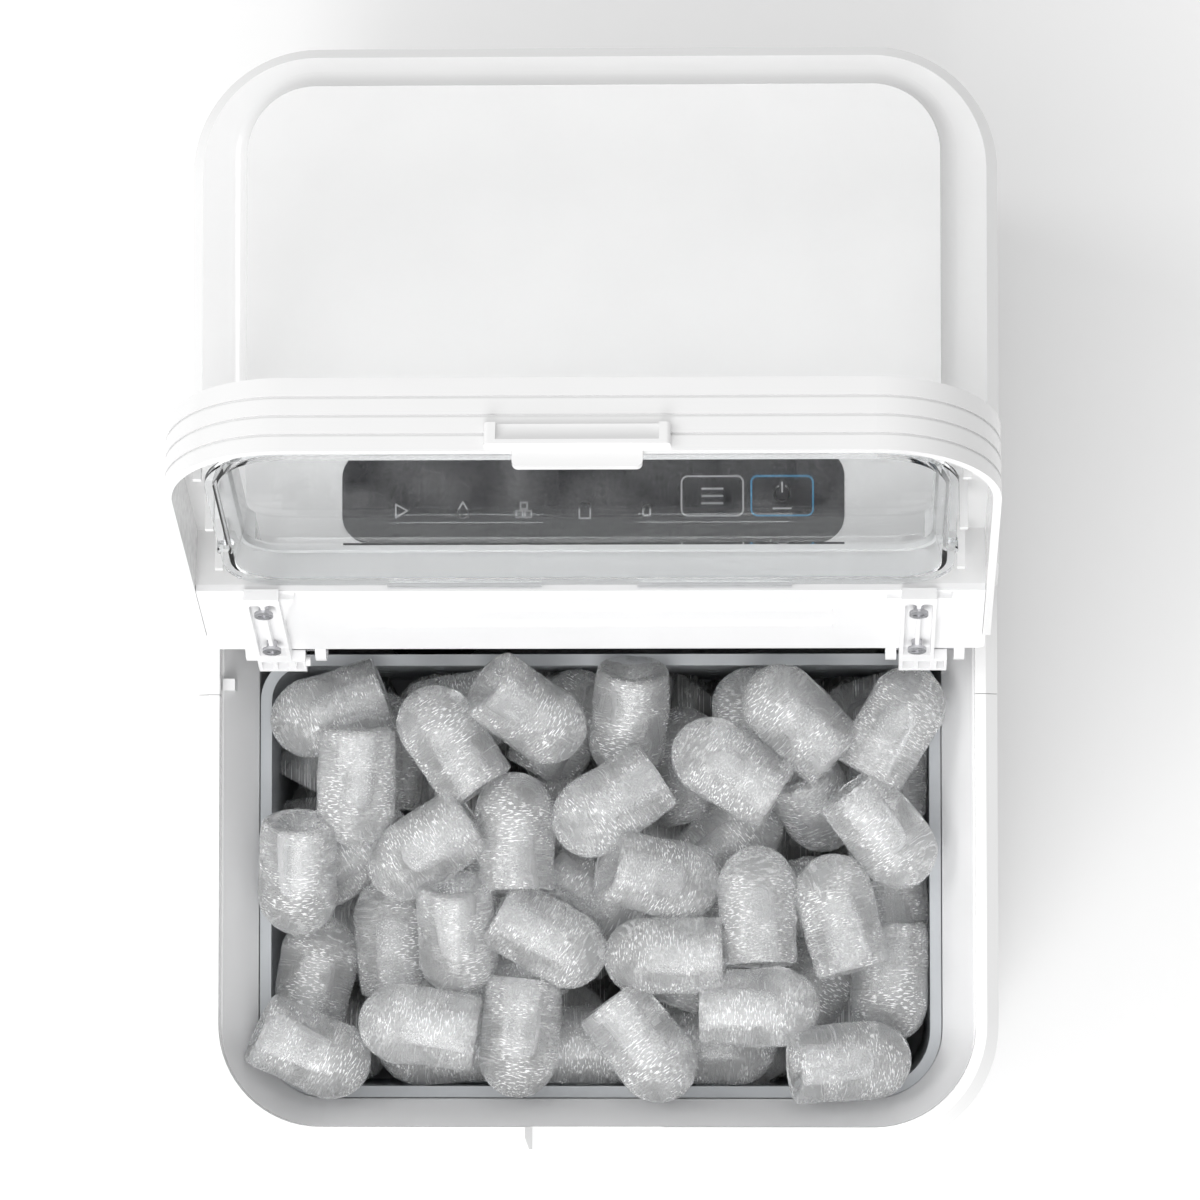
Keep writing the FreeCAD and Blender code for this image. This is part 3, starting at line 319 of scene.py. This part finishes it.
def legends():
    """Plain pictograms for run, water, full, large, small, mode and power."""
    ink = print_ink("legend_ink", (0.62, 0.62, 0.63))
    y = LEGEND_Y
    lamp = dict(zip(("run", "water", "full", "large", "small"), LAMPS))
    run = [(lamp["run"] - 1.5, y - 1.8), (lamp["run"] - 1.5, y + 1.8), (lamp["run"] + 1.7, y)]
    drop = circle(lamp["water"], y - 0.6, 1.5, 150, 390, 20) + [(lamp["water"], y + 2.4)]
    legend("legend_run", [(run, True)], ink)
    legend("legend_water", [(drop, True)], ink)
    cubes = []
    for dx, dy in ((-2.1, -1.0), (0.3, -1.0), (-0.9, 1.3)):
        x0, y0 = lamp["full"] + dx, y + dy - 0.9
        cubes.append(([(x0, y0), (x0 + 1.8, y0), (x0 + 1.8, y0 + 1.8), (x0, y0 + 1.8)], True))
    legend("legend_full", cubes, ink)
    legend("legend_large", [(bullet_outline(lamp["large"], y, 1.5, 4.4), True)], ink)
    legend("legend_small", [(bullet_outline(lamp["small"], y, 1.0, 3.0), True)], ink)
    mode, switch = key_middle("mode_key_outline"), key_middle("power_key_outline")
    bars = [([(mode - 2.8, KEY_Y + d), (mode + 2.8, KEY_Y + d)], False) for d in (-2.0, 0, 2.0)]
    legend("legend_mode", bars, ink)
    power = [(circle(switch, 29.0, 2.2, 120, 420), False)]
    power += [([(switch, 29.4), (switch, 32.0)], False)]
    power += [([(switch - 2.4, 24.8), (switch + 2.4, 24.8)], False)]
    legend("legend_power", power, ink)


# --- ice ----------------------------------------------------------------------------------
BULLET_R, BULLET_LONG = 11.3 * MM, 34.0 * MM
BORE_R, BORE_DEEP = 4.7 * MM, 23.0 * MM


def bullet_profile(rings):
    """Radius and place along the axis, from the dome's tip round to the bottom of the bore."""
    tip, tail = BULLET_LONG / 2, -BULLET_LONG / 2
    out = []
    for k in range(rings):
        t = math.pi / 2 * k / (rings - 1)
        out.append((BULLET_R * math.sin(t), tip - BULLET_R * 1.05 * (1 - math.cos(t))))
    foot = out[-1][1]
    for k in range(1, rings):
        f = k / rings
        out.append((BULLET_R * (1 - 0.05 * f), foot + (tail + 0.0012 - foot) * f))
    for k in range(1, 5):
        t = math.pi / 2 * k / 4
        out.append((BULLET_R * 0.95 - 0.0012 * (1 - math.cos(t)) - 0.0006 * k / 4,
                    tail + 0.0012 * (1 - math.sin(t))))
    for k in range(1, 4):
        f = k / 3
        out.append((BULLET_R * 0.85 + (BORE_R + 0.0008 - BULLET_R * 0.85) * f, tail + 0.0003 * k))
    for k in range(1, rings // 2):
        f = k / (rings // 2)
        out.append((BORE_R * (1 - 0.15 * f), tail + 0.0012 + (BORE_DEEP - 0.004) * f))
    for k in range(1, 5):
        t = math.pi / 2 * k / 4
        out.append((BORE_R * 0.85 * math.cos(t), tail + BORE_DEEP - 0.004 + 0.004 * math.sin(t)))
    return out


def bullet_mesh(name, seed, sides=30, rings=12):
    """A bullet of ice about its own X axis, with melted unevenness."""
    profile = bullet_profile(rings)
    verts, faces = [], []
    shift = Vector((seed * 3.7, seed * 1.3, 0))
    for r, along in profile[1:-1]:
        for k in range(sides):
            t = 2 * math.pi * k / sides
            p = Vector((along, r * math.cos(t), r * math.sin(t)))
            swell = 1 + 0.05 * noise.noise(p * 90 + shift) + 0.025 * noise.noise(p * 260 + shift)
            verts.append((p.x * (1 + 0.02 * noise.noise(p * 60 - shift)), p.y * swell, p.z * swell))
    rows = len(profile) - 2
    for i in range(rows - 1):
        for k in range(sides):
            n = (k + 1) % sides
            faces.append((i * sides + k, (i + 1) * sides + k, (i + 1) * sides + n, i * sides + n))
    verts.append((profile[0][1], 0, 0))
    verts.append((profile[-1][1], 0, 0))
    last = (rows - 1) * sides
    for k in range(sides):
        n = (k + 1) % sides
        faces.append((len(verts) - 2, k, n))
        faces.append((len(verts) - 1, last + n, last + k))
    mesh = bpy.data.meshes.new(name)
    mesh.from_pydata(verts, [], faces)
    mesh.polygons.foreach_set("use_smooth", [True] * len(mesh.polygons))
    mesh.update()
    return mesh


# Ice that shows: x, y and z of the middle in mm, heading of the domed end in degrees from +X,
# and how far that end dips.
SHOWN = [
    (-69, -45, 270, -92, 8), (-87, -75, 268, -92, 22), (-49, -62, 272, 214, 5),
    (-40, -40, 268, 125, 0), (-21, -29, 272, -35, 24), (-17, -63, 269, 92, 4),
    (4, -45, 274, 214, -4), (10, -25, 264, -95, 26), (21, -66, 270, -14, 22),
    (44, -41, 270, 148, 2), (60, -27, 262, 135, 0), (86, -27, 262, 60, 0),
    (78, -66, 270, -52, 10), (86, -48, 258, 90, 0), (48, -87, 270, 92, 6),
    (72, -90, 271, 104, 4), (18, -95, 273, 182, 2), (-18, -98, 270, -30, 4),
    (-46, -92, 270, -88, 24), (-66, -88, 258, 95, 0), (14, -120, 272, -52, 2),
    (41, -110, 262, 0, 0), (74, -127, 270, 4, 14), (88, -99, 258, -90, 0),
    (-78, -124, 271, -25, 10), (-84, -102, 256, 80, 0), (-50, -113, 264, 172, 0),
    (-21, -123, 264, -95, 0), (-45, -129, 254, 180, 0), (1, -128, 254, 0, 0),
    (39, -129, 254, 0, 0), (-87, -36, 256, 200, 0), (66, -49, 258, -60, 48),
    (48, -63, 256, 40, 0), (2, -76, 254, -30, 0), (27, -47, 254, 100, 0),
    (-33, -76, 254, 70, 0), (-62, -22, 254, 90, 0), (-45, -21, 256, 10, 0),
    (-14, -20, 254, 60, 0), (36, -21, 256, 90, 0), (-26, -110, 250, 20, 0),
    (62, -110, 252, 60, 0), (-70, -62, 250, 30, 0), (88, -80, 248, 95, 0),
    (-10, -45, 250, 0, 0), (62, -72, 246, 10, 0), (30, -100, 248, 70, 0),
]
FILL_LAYERS = (182.0, 205.0, 228.0)
WALL_GAP = 3.4       # mm from the basket's outside to the ice
ICE_TOP = 269.5      # mm, the highest middle of a ball
FLARE = 0.42         # how fast the chamber opens out above the basket
TOUCH, EASE = 0.97, 0.16
ICE_SEED, VARIANTS = 7, 5


def axis_of(heading, dip):
    h, d = math.radians(heading), math.radians(dip)
    return np.array([math.cos(h) * math.cos(d), math.sin(h) * math.cos(d), -math.sin(d)])


def fill_pieces(rng):
    """Ice lower down, in rough layers with any heading."""
    out = []
    for z in FILL_LAYERS:
        for i in range(6):
            for j in range(4):
                out.append((-75 + 30 * i + rng.uniform(-5, 5), -122 + 30 * j + rng.uniform(-4, 4),
                            z + rng.uniform(-2, 2), rng.uniform(0, 360), rng.uniform(-14, 14)))
    return out


def settle(pieces, steps=260):
    """Pushes the pieces apart and off the walls, each as three balls along its axis."""
    centre = np.array([p[:3] for p in pieces], float)
    axes = np.array([axis_of(p[3], p[4]) for p in pieces])
    radius = BULLET_R / MM
    reach = BULLET_LONG / MM / 2 - radius
    offsets = np.array([-1.0, 0.0, 1.0]) * reach
    low, high = np.array(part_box("ice_basket")[0]) / MM, np.array(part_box("ice_basket")[1]) / MM
    owner = np.repeat(np.arange(len(pieces)), 3)
    for _ in range(steps):
        balls = (centre[:, None, :] + axes[:, None, :] * offsets[None, :, None]).reshape(-1, 3)
        gap = balls[:, None, :] - balls[None, :, :]
        far = np.linalg.norm(gap, axis=2) + 1e-6
        deep = np.clip(2 * radius * TOUCH - far, 0, None)
        deep[owner[:, None] == owner[None, :]] = 0
        push = (gap / far[:, :, None] * deep[:, :, None]).sum(1) * EASE
        flare = np.clip(balls[:, 2] - (high[2] + 1), 0, None) * FLARE
        wall = high[0] - WALL_GAP - radius + flare
        push[:, 0] -= np.clip(balls[:, 0] - wall, 0, None) - np.clip(-wall - balls[:, 0], 0, None)
        front = low[1] + WALL_GAP + radius - flare
        push[:, 1] += np.clip(front - balls[:, 1], 0, None)
        push[:, 1] -= np.clip(balls[:, 1] - (high[1] - WALL_GAP - radius), 0, None)
        push[:, 2] += np.clip(low[2] + 2.2 + radius - balls[:, 2], 0, None)
        push[:, 2] -= np.clip(balls[:, 2] - ICE_TOP, 0, None)
        np.add.at(centre, owner, push / 2)
    return centre, axes


def place(centre, axis, roll):
    along = Vector(axis).normalized()
    turn = along.to_track_quat("X", "Z").to_matrix().to_4x4()
    move = Matrix.Translation(Vector(centre) * MM)
    return move @ turn @ Matrix.Rotation(roll, 4, "X")


def add_shown(name, mesh, turn):
    piece = bpy.data.objects.new(name, mesh)
    bpy.context.scene.collection.objects.link(piece)
    piece.matrix_world = turn
    bpy.context.view_layer.update()
    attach(piece, "body")


def add_heap(turns, material):
    """All the lower ice as one piece, from a plainer bullet."""
    plain = bullet_mesh("bullet_fill", 9, sides=14, rings=6)
    verts, faces = [], []
    for turn in turns:
        start = len(verts)
        verts += [tuple(turn @ v.co) for v in plain.vertices]
        faces += [tuple(start + i for i in f.vertices) for f in plain.polygons]
    heap = bpy.data.meshes.new("ice_below")
    heap.from_pydata(verts, [], faces)
    heap.polygons.foreach_set("use_smooth", [True] * len(heap.polygons))
    heap.materials.append(material)
    lower = bpy.data.objects.new("ice_below", heap)
    bpy.context.scene.collection.objects.link(lower)
    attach(lower, "body")


def add_ice():
    rng = random.Random(ICE_SEED)
    frosted = ice("ice")
    variants = [bullet_mesh("bullet_%d" % k, k + 1) for k in range(VARIANTS)]
    for mesh in variants:
        mesh.materials.append(frosted)
    pieces = SHOWN + fill_pieces(rng)
    centres, axes = settle(pieces)
    turns = [place(c, a, rng.uniform(0, 6.28)) for c, a in zip(centres, axes)]
    for k, turn in enumerate(turns[:len(SHOWN)]):
        add_shown("ice_%02d" % (k + 1), variants[k % VARIANTS], turn)
    add_heap(turns[len(SHOWN):], frosted)


# --- studio -------------------------------------------------------------------------------
RIM_Z = 0.285
CAMERA = Vector((0.055, -0.096, RIM_Z + 1.56))
TARGET = Vector((0.001, 0.0, RIM_Z))
FIELD = 0.3375   # width seen at the target
FLOOR_HALF = 4.0
WORLD_LIGHT = 0.62


def area_light(name, where, aim, size, watts):
    """A square soft box, in metres and watts, turned to face a point."""
    data = bpy.data.lights.new(name, "AREA")
    data.size = size
    data.energy = watts
    lamp = bpy.data.objects.new(name, data)
    lamp.location = where
    lamp.rotation_euler = (Vector(aim) - Vector(where)).to_track_quat("-Z", "Y").to_euler()
    bpy.context.scene.collection.objects.link(lamp)


def studio():
    mesh = bpy.data.meshes.new("floor")
    corners = [(x * FLOOR_HALF, y * FLOOR_HALF, 0) for x, y in ((-1, -1), (1, -1), (1, 1), (-1, 1))]
    mesh.from_pydata(corners, [], [(0, 1, 2, 3)])
    mesh.materials.append(floor_paper("floor_paper"))
    floor = bpy.data.objects.new("floor", mesh)
    bpy.context.scene.collection.objects.link(floor)
    world = bpy.data.worlds.new("studio")
    world.use_nodes = True
    sky = world.node_tree.nodes["Background"]
    sky.inputs["Color"].default_value = (1, 1, 1, 1)
    sky.inputs["Strength"].default_value = WORLD_LIGHT
    bpy.context.scene.world = world
    area_light("key", (-1.6, 0.2, 1.7), (0, 0, 0.25), 1.0, 11)
    area_light("fill", (-0.6, -1.7, 1.3), (0, 0, 0.2), 1.4, 5)
    area_light("chamber", (-0.15, -0.85, 1.25), (0, -0.09, 0.26), 0.7, 7.5)
    area_light("top", (-0.2, -0.5, 2.3), (0, 0, 0.2), 1.4, 7)
    bpy.context.scene.view_settings.view_transform = "Standard"


def camera():
    data = bpy.data.cameras.new("camera")
    reach = (TARGET - CAMERA).length
    data.angle = 2 * math.atan(FIELD / 2 / reach)
    eye = bpy.data.objects.new("camera", data)
    look = (TARGET - CAMERA).normalized()
    right = look.cross(Vector((0, 1, 0))).normalized()
    up = right.cross(look)
    turn = Matrix((right, up, -look)).transposed().to_4x4()
    eye.matrix_world = Matrix.Translation(CAMERA) @ turn
    bpy.context.scene.collection.objects.link(eye)
    bpy.context.scene.camera = eye


dress_cad_nodes()
legends()
add_ice()
studio()
camera()
